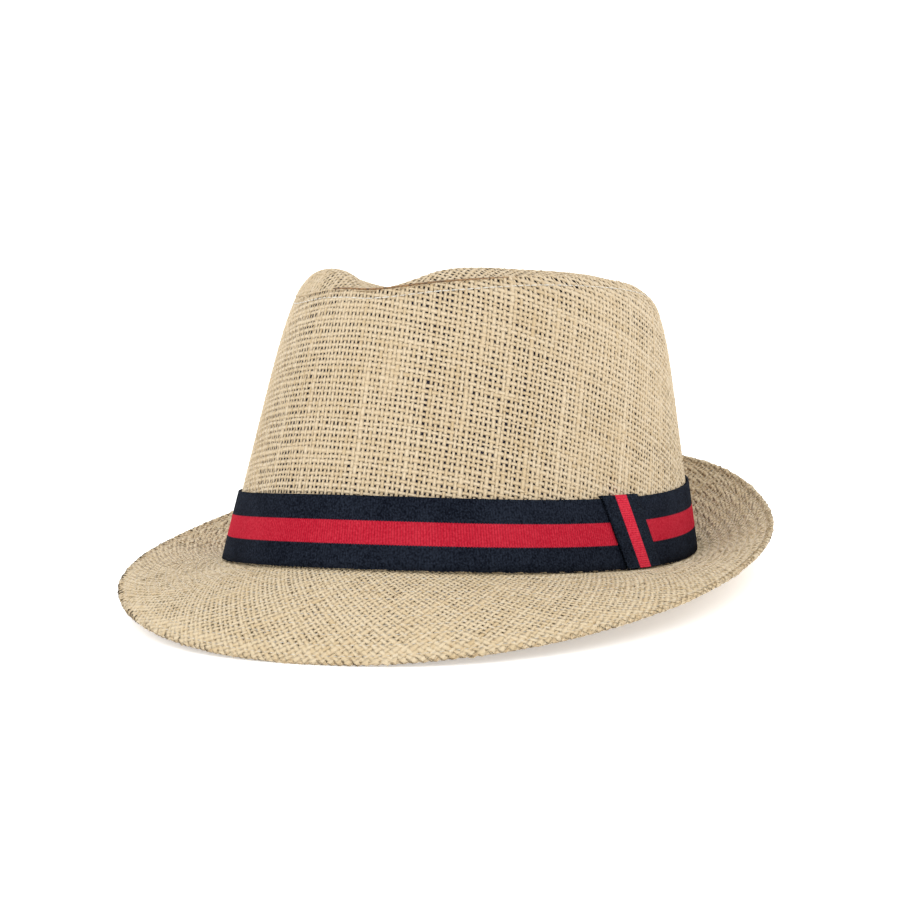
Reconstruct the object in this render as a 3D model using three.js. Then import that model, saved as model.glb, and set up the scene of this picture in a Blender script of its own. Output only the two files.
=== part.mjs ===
// A short-brimmed trilby hat of woven paper straw, resting on a flat surface by itself.
// The hat is modelled upright in its own frame: its front towards -Y, the wearer's left towards +X,
// with the break line, where crown and brim meet, near Z = 0. It is then tipped back until the snapped
// front of the brim and the back of the break line both stand on Z = 0.
import * as THREE from "three";

// Head opening, in millimetres
const HEAD_LENGTH = 198; // inside the crown at the break line, front to back
const HEAD_WIDTH = 164; // inside the crown at the break line, side to side
const HEAD_EGG = 0.02; // how much narrower the front half of the oval is
const BREAK_SAG = 2.2; // the break line dips by this at the sides and rises by it in front and behind

// Crown
const CROWN_HEIGHT = 100; // break line to the tip's seam
const CROWN_WALL = 1.2; // woven straw, stiffened
const SHOULDER_SWELL = 4.6; // how far the side stands out before it turns in to the seam
const SHOULDER_POWER = 9; // the higher, the nearer to the seam the side turns in
const TIP_LENGTH = 165; // the seam's oval, front to back
const TIP_WIDTH = 120; // the seam's oval, side to side
const TIP_SETBACK = 5.6; // the tip's centre lies this far behind the opening's
const TIP_EGG = 0.2; // how much narrower the front half of the seam's oval is
const TIP_WALL = 1.2;
const TIP_LEVEL = 98; // the height that the dent is measured from, near the tip's centre
const RIDGE_RISE = 3.2; // highest ridge above the tip's rim, at the front corners
const DENT_DEPTH = 16; // floor of the centre dent below that level

// Brim
const BRIM_WIDTH = 40; // break line to edge, straight across
const BRIM_WALL = 1.5;
const BRIM_START = 0.65; // slope at the break line, as a share of the whole slope
const HEM_WIDTH = 4; // the turned edge
const HEM_WALL = 2.3; // two layers, pressed
const HEM_STEP = 0.4; // how far the hem takes to thicken, and to round off at the edge

// Ribbon
const BAND_WIDTH = 25;
const BAND_WALL = 0.8;
const LOOP_WIDTH = 20; // along the band
const LOOP_WALL = 0.8;
const LOOP_ANGLE = 73; // place of the keeper, in degrees from the front round to the wearer's left
const LOOP_SLANT = 7; // the keeper's foot lies this far behind its head

// Clearance between pieces that are sewn or wrapped together
const GAP = 0.3;

// Facets round the hat
const AROUND = 80;

// The tip's profile, in shares of the way from its seam to its centre
const RIDGE_OUTSIDE = 0.16; // rim to crest
const RIDGE_INSIDE = 0.3; // crest to the dent's wall
const DENT_WALL = 0.62; // top of the dent's wall to its floor

// The hat at seven places from the front (0) to the back (180); the other side mirrors them.
// height is a share of CROWN_HEIGHT, swell of SHOULDER_SWELL, crest of RIDGE_RISE, dentEdge of the seam
// oval's radius and width of BRIM_WIDTH. slope is the brim's, in degrees, positive upwards.
const SECTIONS = [
  { height: 0.954, swell: 0.5, crest: 0.1, dentEdge: 1.0, width: 0.98, slope: -46 },
  { height: 0.98, swell: 0.5, crest: 1.0, dentEdge: 0.86, width: 1.02, slope: -33 },
  { height: 0.992, swell: 0.5, crest: 0.1, dentEdge: 0.82, width: 0.98, slope: -12 },
  { height: 0.975, swell: 0.75, crest: 0.1, dentEdge: 0.8, width: 0.81, slope: 10 },
  { height: 0.935, swell: 1.0, crest: 0.1, dentEdge: 0.8, width: 0.78, slope: 32 },
  { height: 0.925, swell: 1.0, crest: 0.2, dentEdge: 0.8, width: 0.92, slope: 44 },
  { height: 0.93, swell: 1.0, crest: 0.2, dentEdge: 0.82, width: 1.0, slope: 46 },
];

const COLOURS = {
  straw: 0xd6c19f,
  strawUnder: 0xcdb48c,
  ribbon: 0x1b2029,
  keeper: 0xc12b3b,
};

// A column of SECTIONS at any angle, by a smooth curve through its seven values.
function sectionValue(column, angle) {
  const last = SECTIONS.length - 1;
  const turn = Math.abs(Math.atan2(Math.sin(angle), Math.cos(angle)));
  const place = (turn / Math.PI) * last;
  const first = Math.min(Math.floor(place), last - 1);
  const value = (index) => {
    const mirrored = Math.abs(index);
    return SECTIONS[mirrored > last ? 2 * last - mirrored : mirrored][column];
  };
  const [a, b, c, d] = [value(first - 1), value(first), value(first + 1), value(first + 2)];
  const t = place - first;
  const squared = 2 * a - 5 * b + 4 * c - d;
  const cubed = 3 * b - a - 3 * c + d;
  return 0.5 * (2 * b + (c - a) * t + squared * t ** 2 + cubed * t ** 3);
}

const radians = THREE.MathUtils.degToRad;
const smooth = THREE.MathUtils.smoothstep;

// Outside of the crown at the break line.
function breakPoint(angle) {
  const across = (HEAD_WIDTH / 2 + CROWN_WALL) * Math.sin(angle) * (1 - HEAD_EGG * Math.cos(angle));
  const along = -(HEAD_LENGTH / 2 + CROWN_WALL) * Math.cos(angle);
  return new THREE.Vector3(across, along, BREAK_SAG * Math.cos(2 * angle));
}

// Outside of the crown at the seam between side and tip.
function seamPoint(angle) {
  const across = (TIP_WIDTH / 2) * Math.sin(angle) * (1 - TIP_EGG * Math.cos(angle));
  const along = TIP_SETBACK - (TIP_LENGTH / 2) * Math.cos(angle);
  return new THREE.Vector3(across, along, CROWN_HEIGHT * sectionValue("height", angle));
}

// How the break line runs on with the angle, in millimetres for each radian.
function breakLineRun(angle) {
  const step = 1e-3;
  return breakPoint(angle + step).sub(breakPoint(angle - step)).divideScalar(2 * step);
}

// Level direction that points away from the crown at the break line.
function outward(angle) {
  const run = breakLineRun(angle);
  return new THREE.Vector3(run.y, -run.x, 0).normalize();
}

// A point at a share of the way up the crown's side, moved out from its outer face.
function sidePoint(angle, share, out) {
  const swell = SHOULDER_SWELL * sectionValue("swell", angle) * (share - share ** SHOULDER_POWER);
  return breakPoint(angle).lerp(seamPoint(angle), share).addScaledVector(outward(angle), swell + out);
}

// The same at a distance up the side in millimetres, for what is wrapped round it.
function sidePointAt(angle, distance, out) {
  return sidePoint(angle, distance / breakPoint(angle).distanceTo(seamPoint(angle)), out);
}

// Joins triangles that share corners into one closed geometry with its faces pointing out.
function closedGeometry(triangles) {
  const index = [];
  const corners = [];
  const seen = new Map();
  const cornerIndex = (point) => {
    const key = point.toArray().map((value) => value.toFixed(4)).join();
    if (!seen.has(key)) {
      seen.set(key, corners.length);
      corners.push(point);
    }
    return seen.get(key);
  };
  let volume = 0;
  for (const [a, b, c] of triangles) {
    const [i, j, k] = [cornerIndex(a), cornerIndex(b), cornerIndex(c)];
    if (i === j || j === k || k === i) continue;
    index.push(i, j, k);
    volume += a.dot(new THREE.Vector3().crossVectors(b, c));
  }
  if (volume < 0) index.reverse();
  const geometry = new THREE.BufferGeometry().setFromPoints(corners).setIndex(index);
  geometry.computeVertexNormals();
  return geometry;
}

// Skins a row of sections into one solid. A section is a face path and a back path with as many points.
// A closed row runs round the hat, and an open one is capped at both ends.
function skin(sections, isClosed) {
  const triangles = [];
  const quad = (a, b, c, d) => triangles.push([a, b, c], [a, c, d]);
  const rings = sections.map(({ face, back }) => [...face, ...back.toReversed()]);
  const steps = isClosed ? rings.length : rings.length - 1;
  for (let step = 0; step < steps; step++) {
    const near = rings[step];
    const far = rings[(step + 1) % rings.length];
    near.forEach((point, i) => {
      const next = (i + 1) % near.length;
      quad(point, far[i], far[next], near[next]);
    });
  }
  if (!isClosed) {
    const cap = ({ face, back }, isFirst) => {
      for (let i = 0; i + 1 < face.length; i++) {
        if (isFirst) quad(face[i], face[i + 1], back[i + 1], back[i]);
        else quad(back[i], back[i + 1], face[i + 1], face[i]);
      }
    };
    cap(sections[0], true);
    cap(sections.at(-1), false);
  }
  return closedGeometry(triangles);
}

// A solid that runs all the way round the hat, from a function that gives its section at an angle.
function ringSolid(sectionAt) {
  const angles = Array.from({ length: AROUND }, (_, step) => (2 * Math.PI * step) / AROUND);
  return skin(angles.map(sectionAt), true);
}

// Crown side: a tapered wall between the brim and the tip.
function crownSide() {
  const rows = [0, 0.3, 0.6, 0.8, 0.9, 0.96, 1];
  return ringSolid((angle) => ({
    face: rows.map((share) => sidePoint(angle, share, 0)),
    back: rows.map((share) => sidePoint(angle, share, -CROWN_WALL)),
  }));
}

// Height of the tip's dished face above the break line, at a share of the way from its centre outwards.
function tipHeight(angle, share) {
  const seam = seamPoint(angle).z;
  const dentEdge = sectionValue("dentEdge", angle);
  const level = THREE.MathUtils.lerp(TIP_LEVEL, seam, smooth(share, 0, 1));
  const crest = RIDGE_RISE * sectionValue("crest", angle);
  const ridge = crest * smooth(1 - share, 0, RIDGE_OUTSIDE) * (1 - smooth(dentEdge - share, 0, RIDGE_INSIDE));
  const dent = DENT_DEPTH * smooth(dentEdge - share, 0, DENT_WALL);
  return level + ridge - dent;
}

// Crown tip: a dished plate whose flat rim stands on the top edge of the side.
function crownTip() {
  const shares = [1, 0.95, 0.89, 0.82, 0.74, 0.64, 0.52, 0.37, 0.2, 0];
  return ringSolid((angle) => {
    const seam = seamPoint(angle);
    const centre = new THREE.Vector3(0, TIP_SETBACK, seam.z);
    const landing = 1 - (CROWN_WALL + GAP) / centre.distanceTo(seam);
    const place = (share, height) =>
      centre.clone().lerp(seam, share).setZ(GAP + TIP_WALL + height);
    const rim = place(1, seam.z);
    const dish = shares.map((share) => place(share * landing, tipHeight(angle, share)));
    const upper = [rim, ...dish];
    const lower = upper.map((point) => point.clone().setZ(point.z - TIP_WALL));
    return { face: upper, back: lower };
  });
}

// Upper face of the brim at a share of the way from break line to edge, and its direction there.
function brimCurve(angle, share) {
  const slope = radians(sectionValue("slope", angle));
  const width = BRIM_WIDTH * sectionValue("width", angle);
  const heading = (turn, length) => new THREE.Vector2(Math.cos(turn), Math.sin(turn)).multiplyScalar(length);
  const curve = new THREE.QuadraticBezierCurve(
    new THREE.Vector2(0, 0),
    heading(slope * BRIM_START, width / 2),
    heading(slope, width),
  );
  return { point: curve.getPoint(share), along: curve.getTangent(share) };
}

// Brim: starts under the crown's wall and runs out to the hem.
function brim() {
  return ringSolid((angle) => {
    const fromEdge = (distance) => 1 - distance / (BRIM_WIDTH * sectionValue("width", angle));
    const plainPart = fromEdge(HEM_WIDTH + HEM_STEP);
    const rows = [
      ...[0, 0.2, 0.4, 0.6, 0.8, 1].map((share) => ({ share: share * plainPart, wall: BRIM_WALL })),
      { share: fromEdge(HEM_WIDTH), wall: HEM_WALL },
      { share: fromEdge(HEM_STEP), wall: HEM_WALL },
      { share: 1, wall: HEM_WALL / 2, sunk: HEM_WALL / 4 },
    ];
    const place = (out, up) =>
      breakPoint(angle).addScaledVector(outward(angle), out).add(new THREE.Vector3(0, 0, up - GAP));
    const face = [place(-CROWN_WALL, 0)];
    const back = [place(-CROWN_WALL, -BRIM_WALL)];
    for (const { share, wall, sunk = 0 } of rows) {
      const { point, along } = brimCurve(angle, share);
      face.push(place(point.x + sunk * along.y, point.y - sunk * along.x));
      back.push(place(point.x + (sunk + wall) * along.y, point.y - (sunk + wall) * along.x));
    }
    return { face, back };
  });
}

// How far up the side the ribbon starts, so that it clears a brim that rises from the break line.
function ribbonFoot(angle, out) {
  const rise = Math.tan(radians(sectionValue("slope", angle) * BRIM_START)) * out;
  return Math.max(0, rise);
}

// Hat band: the ribbon laid round the foot of the crown.
function hatBand() {
  const inner = GAP;
  const outer = GAP + BAND_WALL;
  return ringSolid((angle) => {
    const foot = ribbonFoot(angle, outer);
    const rows = [0, 0.5, 1].map((share) => foot + share * BAND_WIDTH);
    return {
      face: rows.map((distance) => sidePointAt(angle, distance, outer)),
      back: rows.map((distance) => sidePointAt(angle, distance, inner)),
    };
  });
}

// Band loop: the keeper lies over the band and turns in over its upper edge.
function bandLoop() {
  const inner = GAP + BAND_WALL + GAP;
  const outer = inner + LOOP_WALL;
  const centre = radians(LOOP_ANGLE);
  const perRadian = breakLineRun(centre).length();
  const columns = [-0.5, -0.25, 0, 0.25, 0.5];
  const sections = columns.map((column) => {
    const at = (height, out) => {
      const lean = LOOP_SLANT * (0.5 - height / BAND_WIDTH);
      const angle = centre + (column * LOOP_WIDTH + lean) / perRadian;
      return sidePointAt(angle, ribbonFoot(angle, outer) + height, out);
    };
    const turnIn = BAND_WIDTH + GAP;
    return {
      face: [
        at(0, outer),
        at(BAND_WIDTH / 2, outer),
        at(turnIn + LOOP_WALL, outer),
        at(turnIn + LOOP_WALL, GAP),
      ],
      back: [
        at(0, inner),
        at(BAND_WIDTH / 2, inner),
        at(turnIn, inner),
        at(turnIn, GAP),
      ],
    };
  });
  return skin(sections, false);
}

function namedMesh(name, geometry, color, roughness) {
  const mesh = new THREE.Mesh(geometry, new THREE.MeshStandardMaterial({ color, roughness, metalness: 0 }));
  mesh.name = name;
  return mesh;
}

// The backward tip, in radians, at which the front and the back of the brim stand equally low.
function restingTip(points) {
  const low = (half, tip) =>
    Math.min(...half.map((point) => point.z * Math.cos(tip) - point.y * Math.sin(tip)));
  const front = points.filter((point) => point.y < 0);
  const back = points.filter((point) => point.y >= 0);
  let least = 0;
  let most = Math.PI / 6;
  for (let round = 0; round < 40; round++) {
    const middle = (least + most) / 2;
    if (low(front, middle) < low(back, middle)) least = middle;
    else most = middle;
  }
  return least;
}

const hat = new THREE.Group();
hat.add(
  namedMesh("crown_side", crownSide(), COLOURS.straw, 0.75),
  namedMesh("crown_tip", crownTip(), COLOURS.straw, 0.75),
  namedMesh("brim", brim(), COLOURS.strawUnder, 0.75),
  namedMesh("hat_band", hatBand(), COLOURS.ribbon, 0.6),
  namedMesh("band_loop", bandLoop(), COLOURS.keeper, 0.6),
);

const brimPlaces = hat.getObjectByName("brim").geometry.attributes.position;
const brimPoints = Array.from({ length: brimPlaces.count }, (_, i) =>
  new THREE.Vector3().fromBufferAttribute(brimPlaces, i),
);
hat.rotation.x = -restingTip(brimPoints);

// The origin is the middle of the hat's footprint, on the surface that it stands on.
const bounds = new THREE.Box3().setFromObject(hat, true);
const middle = bounds.getCenter(new THREE.Vector3());
hat.position.set(-middle.x, -middle.y, -bounds.min.z);

const scene = new THREE.Group();
scene.add(hat);
export default scene;
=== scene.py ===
"""The looks of a short-brimmed trilby of woven paper straw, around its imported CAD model.

The cloth is woven strand by strand: numpy finds where each warp and weft strand crosses the other on
the blocked shape, and Geometry Nodes sweep a flat strip of straw along those crossings. The ribbon is
a ribbed grosgrain with a red centre stripe, and the seams and stitch rows are threads of their own.
All sizes are in metres.
"""

import logging
import math
from collections.abc import Callable
from dataclasses import dataclass, field
from enum import Enum

import bmesh
import bpy
import numpy as np
from mathutils import Matrix, Vector


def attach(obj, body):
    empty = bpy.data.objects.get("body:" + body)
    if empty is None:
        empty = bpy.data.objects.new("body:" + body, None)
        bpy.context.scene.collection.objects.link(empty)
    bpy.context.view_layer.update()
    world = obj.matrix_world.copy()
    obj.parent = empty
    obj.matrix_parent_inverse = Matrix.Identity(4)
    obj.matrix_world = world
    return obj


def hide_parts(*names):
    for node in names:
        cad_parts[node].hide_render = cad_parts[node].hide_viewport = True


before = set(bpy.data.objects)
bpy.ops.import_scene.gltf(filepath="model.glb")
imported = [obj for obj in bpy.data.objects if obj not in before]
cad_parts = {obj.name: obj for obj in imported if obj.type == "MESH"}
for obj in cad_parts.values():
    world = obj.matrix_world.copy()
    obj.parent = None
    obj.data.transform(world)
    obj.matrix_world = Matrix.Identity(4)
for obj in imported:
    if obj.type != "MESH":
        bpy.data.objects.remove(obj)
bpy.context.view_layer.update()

LOG = logging.getLogger("trilby")
MM = 0.001
Array = np.ndarray


# Node graphs


class Wire:
    """An output socket on which Python arithmetic adds Math nodes."""

    def __init__(self, graph: "Graph", socket: bpy.types.NodeSocket) -> None:
        """Wraps a socket of the graph."""
        self.graph = graph
        self.socket = socket

    def maths(self, operation: str, *others: object, first: object = None) -> "Wire":
        """Adds one Math node.

        Args:
            operation: the Math node's operation.
            others: the values or wires after the first.
            first: what stands first, when it isn't this wire.

        Returns:
            The node's result.
        """
        values = [self if first is None else first, *others]
        return self.graph.wire("ShaderNodeMath", {"operation": operation}, dict(enumerate(values)))

    def __add__(self, other: object) -> "Wire":
        """This plus other."""
        return self.maths("ADD", other)

    def __radd__(self, other: object) -> "Wire":
        """Other plus this."""
        return self.maths("ADD", other)

    def __sub__(self, other: object) -> "Wire":
        """This minus other."""
        return self.maths("SUBTRACT", other)

    def __rsub__(self, other: object) -> "Wire":
        """Other minus this."""
        return self.maths("SUBTRACT", self, first=other)

    def __mul__(self, other: object) -> "Wire":
        """This times other."""
        return self.maths("MULTIPLY", other)

    def __rmul__(self, other: object) -> "Wire":
        """Other times this."""
        return self.maths("MULTIPLY", other)

    def __truediv__(self, other: object) -> "Wire":
        """This divided by other."""
        return self.maths("DIVIDE", other)

    def sine(self) -> "Wire":
        """The sine of this."""
        return self.maths("SINE")

    def size(self) -> "Wire":
        """This without its sign."""
        return self.maths("ABSOLUTE")

    def above(self, edge: float, soft: float) -> "Wire":
        """0 below the edge and 1 above it, over a soft step."""
        return self.graph.wire(
            "ShaderNodeMapRange",
            {"interpolation_type": "SMOOTHSTEP"},
            {"Value": self, "From Min": edge - soft, "From Max": edge + soft},
        )


class Graph:
    """A node tree that gets each node in one call."""

    def __init__(self, tree: bpy.types.NodeTree) -> None:
        """Takes the tree that the nodes go to."""
        self.tree = tree

    def feed(self, node: bpy.types.Node, sockets: dict) -> None:
        """Gives a node's inputs, each by its name or index, a value, a wire or a socket."""
        for key, value in sockets.items():
            if isinstance(value, Wire):
                value = value.socket
            if isinstance(value, bpy.types.NodeSocket):
                self.tree.links.new(value, node.inputs[key])
            else:
                node.inputs[key].default_value = value

    def node(self, kind: str, settings: dict | None = None, sockets: dict | None = None) -> bpy.types.Node:
        """Adds a node.

        Args:
            kind: the node's type.
            settings: its own settings, which are made first.
            sockets: what each of its inputs gets.

        Returns:
            The node.
        """
        made = self.tree.nodes.new(kind)
        for name, value in (settings or {}).items():
            setattr(made, name, value)
        self.feed(made, sockets or {})
        return made

    def wire(
        self, kind: str, settings: dict | None = None, sockets: dict | None = None, out: int | str = 0
    ) -> Wire:
        """Adds a node and returns one of its outputs as a wire."""
        return Wire(self, self.node(kind, settings, sockets).outputs[out])

    def mix(self, share: object, first: object, second: object) -> Wire:
        """A Mix node on two colours."""
        return self.wire("ShaderNodeMix", {"data_type": "RGBA"}, {0: share, 6: first, 7: second}, out=2)

    def place(self) -> Wire:
        """The point on the piece that a material is asked for."""
        return self.wire("ShaderNodeTexCoord", out="Object")

    def noise(self, place: Wire, scale: float, detail: float = 2.0) -> Wire:
        """Soft noise, with so many spots along each unit of the place."""
        return self.wire("ShaderNodeTexNoise", sockets={"Vector": place, "Scale": scale, "Detail": detail})

    def bump(self, height: Wire, strength: float) -> bpy.types.NodeSocket:
        """A fine relief for a shader."""
        relief = {"Strength": strength, "Distance": 0.1 * MM, "Height": height}
        return self.node("ShaderNodeBump", sockets=relief).outputs[0]

    def attribute(self, name: str, out: str = "Fac") -> Wire:
        """A named attribute of the mesh, in a material."""
        return self.wire("ShaderNodeAttribute", {"attribute_name": name}, out=out)

    def named(self, name: str, kind: str = "FLOAT") -> Wire:
        """A named attribute of the geometry, in Geometry Nodes."""
        return self.wire("GeometryNodeInputNamedAttribute", {"data_type": kind}, {"Name": name})

    def lines(self, paths: Wire) -> Wire:
        """A mesh of paths as curves that are turned to where the cloth faces."""
        curves = self.wire("GeometryNodeMeshToCurve", sockets={"Mesh": paths})
        turned = {"Curve": curves, "Normal": self.named("facing", "FLOAT_VECTOR")}
        return self.wire("GeometryNodeSetCurveNormal", {"mode": "FREE"}, turned)


class Nodes:
    """A Geometry Nodes tree with named inputs, that is run on a mesh and leaves a plain mesh."""

    def __init__(self, name: str, inputs: dict[str, float], build: Callable[[Graph, dict], Wire]) -> None:
        """Builds the tree.

        Args:
            name: the tree's name.
            inputs: its named sizes, each with the value that it has unless run() is given another.
            build: from the graph and the inputs' wires, makes the geometry.
        """
        tree = bpy.data.node_groups.new(name, "GeometryNodeTree")
        face = tree.interface
        face.new_socket("Geometry", in_out="INPUT", socket_type="NodeSocketGeometry")
        self.keys = {}
        for label, value in inputs.items():
            kind = "NodeSocketInt" if isinstance(value, int) else "NodeSocketFloat"
            socket = face.new_socket(label, in_out="INPUT", socket_type=kind)
            self.keys[label] = socket.identifier
        socket = face.new_socket("Material", in_out="INPUT", socket_type="NodeSocketMaterial")
        self.material_key = socket.identifier
        face.new_socket("Geometry", in_out="OUTPUT", socket_type="NodeSocketGeometry")
        graph = Graph(tree)
        enter = graph.node("NodeGroupInput")
        wires = {socket.name: Wire(graph, socket) for socket in enter.outputs if socket.name}
        made = {"Geometry": build(graph, wires), "Shade Smooth": True}
        shaded = graph.wire("GeometryNodeSetShadeSmooth", sockets=made)
        real = graph.wire("GeometryNodeRealizeInstances", sockets={"Geometry": shaded})
        finished = {"Geometry": real, "Material": wires["Material"]}
        done = graph.wire("GeometryNodeSetMaterial", sockets=finished)
        graph.node("NodeGroupOutput", sockets={"Geometry": done})
        self.tree = tree
        self.inputs = inputs

    def run(self, piece: bpy.types.Object, material: bpy.types.Material, **sizes: float) -> bpy.types.Object:
        """Runs the tree on a piece and keeps the result as its mesh.

        Args:
            piece: the object whose mesh holds the paths or the base surface.
            material: the finish.
            sizes: inputs that differ from the tree's own, with spaces as underscores.

        Returns:
            The same object with a plain mesh and no modifier.
        """
        modifier = piece.modifiers.new("nodes", "NODES")
        modifier.node_group = self.tree
        for label, key in self.keys.items():
            modifier[key] = sizes.get(label.replace(" ", "_").lower(), self.inputs[label])
        modifier[self.material_key] = material
        deps = bpy.context.evaluated_depsgraph_get()
        done = bpy.data.meshes.new_from_object(piece.evaluated_get(deps), depsgraph=deps)
        piece.modifiers.remove(modifier)
        bare = piece.data
        piece.data = done
        bpy.data.meshes.remove(bare)
        done.name = piece.name
        return piece


# The blocked shape


@dataclass(frozen=True)
class HatForm:
    """The hat's shape: the same sizes and curves as its solids, in metres.

    An angle runs round the hat from its front, 0, over the wearer's left to the back. The hat is
    described upright and is placed, tipped back, by world().
    """

    head_length: float = 0.198
    head_width: float = 0.164
    head_egg: float = 0.02
    break_sag: float = 0.0022
    crown_height: float = 0.1
    crown_wall: float = 0.0012
    shoulder_swell: float = 0.0046
    shoulder_power: float = 9.0
    tip_length: float = 0.165
    tip_width: float = 0.12
    tip_setback: float = 0.0056
    tip_egg: float = 0.2
    tip_wall: float = 0.0012
    tip_level: float = 0.098
    ridge_rise: float = 0.0032
    dent_depth: float = 0.016
    ridge_outside: float = 0.16
    ridge_inside: float = 0.3
    dent_wall: float = 0.62
    brim_width: float = 0.04
    brim_start: float = 0.65
    gap: float = 0.0003
    tipped_back: float = math.radians(6.970093)
    # The lie of the cloth at the crown's upper corner, which the solids leave out.
    roll_in: float = 0.0038
    roll_up: float = 0.0007
    roll_reach: float = 0.008
    roll_power: float = 2.1
    seam_drop: float = 0.0056
    drop_reach: float = 0.15
    drop_power: float = 2.4
    # Degrees from the front: where each of the two starts or ends, and over how much it does so.
    roll_left: tuple = (32, 34)
    roll_behind: tuple = (120, 45)
    drop_right: tuple = (5, 45)
    drop_end: tuple = (115, 40)
    # The hat at seven places from front to back, as in the solids' own table, save for the crest's
    # third value, with which the ridge is carried on round the sides.
    sections: dict = field(
        default_factory=lambda: {
            "height": (0.954, 0.98, 0.992, 0.975, 0.935, 0.925, 0.93),
            "swell": (0.5, 0.5, 0.5, 0.75, 1.0, 1.0, 1.0),
            "crest": (0.1, 1.0, 0.5, 0.35, 0.1, 0.2, 0.2),
            "dent_edge": (1.0, 0.86, 0.82, 0.8, 0.8, 0.8, 0.82),
            "width": (0.98, 1.02, 0.98, 0.81, 0.78, 0.92, 1.0),
            "slope": (-46.0, -33.0, -12.0, 10.0, 32.0, 44.0, 46.0),
        }
    )

    def section(self, column: str, angle: Array) -> Array:
        """A column of the sections at any angle, by a smooth curve through its seven values."""
        values = np.array(self.sections[column])
        last = len(values) - 1
        turn = np.abs(np.arctan2(np.sin(angle), np.cos(angle)))
        place = turn / np.pi * last
        first = np.minimum(np.floor(place), last - 1).astype(int)
        a, b, c, d = (values[last - np.abs(last - np.abs(first + step))] for step in (-1, 0, 1, 2))
        t = place - first
        squared = 2 * a - 5 * b + 4 * c - d
        cubed = 3 * b - a - 3 * c + d
        return 0.5 * (2 * b + (c - a) * t + squared * t**2 + cubed * t**3)

    def break_point(self, angle: Array) -> Array:
        """Outside of the crown at the break line, where crown and brim meet."""
        across = (self.head_width / 2 + self.crown_wall) * np.sin(angle) * (1 - self.head_egg * np.cos(angle))
        along = -(self.head_length / 2 + self.crown_wall) * np.cos(angle)
        return np.stack([across, along, self.break_sag * np.cos(2 * angle)], -1)

    def corner(self, angle: Array) -> Array:
        """Top of the crown's straight side, before its cloth rolls over to the seam."""
        across = self.tip_width / 2 * np.sin(angle) * (1 - self.tip_egg * np.cos(angle))
        along = self.tip_setback - self.tip_length / 2 * np.cos(angle)
        top = np.stack([across, along, self.crown_height * self.section("height", angle)], -1)
        low = self.break_point(angle)
        kept = 1 - self.seam_drop * self.dropped(angle) / self.crown_height
        return low + (top - low) * kept[..., None]

    def seam_point(self, angle: Array) -> Array:
        """The seam between side and tip."""
        return self.side(angle, np.ones_like(angle))

    def rolled(self, angle: Array) -> Array:
        """How far the side rolls in over the corner: 0 in front, 1 on the wearer's left and behind."""
        turn = np.degrees(np.arctan2(np.sin(angle), np.cos(angle)))
        return np.maximum(past(turn, self.roll_left), past(-turn, self.roll_behind))

    def dropped(self, angle: Array) -> Array:
        """How far the tip's cloth comes down over the corner: 1 on the wearer's right."""
        turn = np.degrees(np.arctan2(np.sin(angle), np.cos(angle)))
        return past(-turn, self.drop_right) * (1 - past(-turn, self.drop_end))

    def run(self, angle: Array) -> Array:
        """How the break line runs on with the angle, for each radian."""
        step = 1e-3
        return (self.break_point(angle + step) - self.break_point(angle - step)) / (2 * step)

    def outward(self, angle: Array) -> Array:
        """Level direction that points away from the crown at the break line."""
        run = self.run(angle)
        out = np.stack([run[..., 1], -run[..., 0], np.zeros_like(run[..., 0])], -1)
        return out / np.linalg.norm(out, axis=-1, keepdims=True)

    def side(self, angle: Array, share: Array, out: Array | float = 0.0) -> Array:
        """A point at a share of the way up the crown's side, moved out from its outer face."""
        bulge = share - np.abs(share) ** self.shoulder_power
        swell = self.shoulder_swell * self.section("swell", angle) * bulge
        low, high = self.break_point(angle), self.corner(angle)
        near_top = np.clip(1 - (1 - share) * self.crown_height / self.roll_reach, 0, 1)
        roll = self.rolled(angle) * self.roll_in * near_top**self.roll_power
        point = low + (high - low) * share[..., None] + self.outward(angle) * (swell + out - roll)[..., None]
        point[..., 2] += self.rolled(angle) * self.roll_up * near_top
        return point

    def slant(self, angle: Array) -> Array:
        """Straight distance from the break line up to the corner."""
        return np.linalg.norm(self.corner(angle) - self.break_point(angle), axis=-1)

    def tip_height(self, angle: Array, share: Array) -> Array:
        """Height of the dished tip above the break line, at a share of the way out from its centre."""
        seam = self.crown_height * self.section("height", angle)
        inward = self.section("dent_edge", angle) - share
        level = self.tip_level + (seam - self.tip_level) * smooth(share, 1.0)
        crest = self.ridge_rise * self.section("crest", angle)
        ridge = crest * smooth(1 - share, self.ridge_outside) * (1 - smooth(inward, self.ridge_inside))
        outer = np.clip((share - 1 + self.drop_reach) / self.drop_reach, 0, 1)
        landing = (seam - self.seam_point(angle)[..., 2]) * outer**self.drop_power
        proud = (self.gap + self.tip_wall) * (1 - outer**2)
        return level + ridge + proud - landing - self.dent_depth * smooth(inward, self.dent_wall)

    def brim_at(self, angle: Array, distance: Array) -> tuple[Array, Array]:
        """The brim's upper face at a distance from the break line, level across.

        Args:
            angle: the place round the hat.
            distance: distance along the brim's own curve.

        Returns:
            Out and up from the break line, and the curve's direction there.
        """
        slope = np.radians(self.section("slope", angle))
        width = self.brim_width * self.section("width", angle)
        share = distance / width
        start = np.stack([np.cos(slope * self.brim_start), np.sin(slope * self.brim_start)], -1)
        end = np.stack([np.cos(slope), np.sin(slope)], -1)
        share, width = share[..., None], width[..., None]
        middle, edge = start * width / 2, end * width
        point = 2 * share * (1 - share) * middle + share**2 * edge
        along = 2 * (1 - share) * middle + 2 * share * (edge - middle)
        return point, along / np.linalg.norm(along, axis=-1, keepdims=True)

    def ribbon_foot(self, angle: Array, out: float) -> Array:
        """How far up the side the ribbon starts, so that it clears a brim that rises."""
        return np.maximum(0.0, np.tan(np.radians(self.section("slope", angle) * self.brim_start)) * out)

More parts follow.
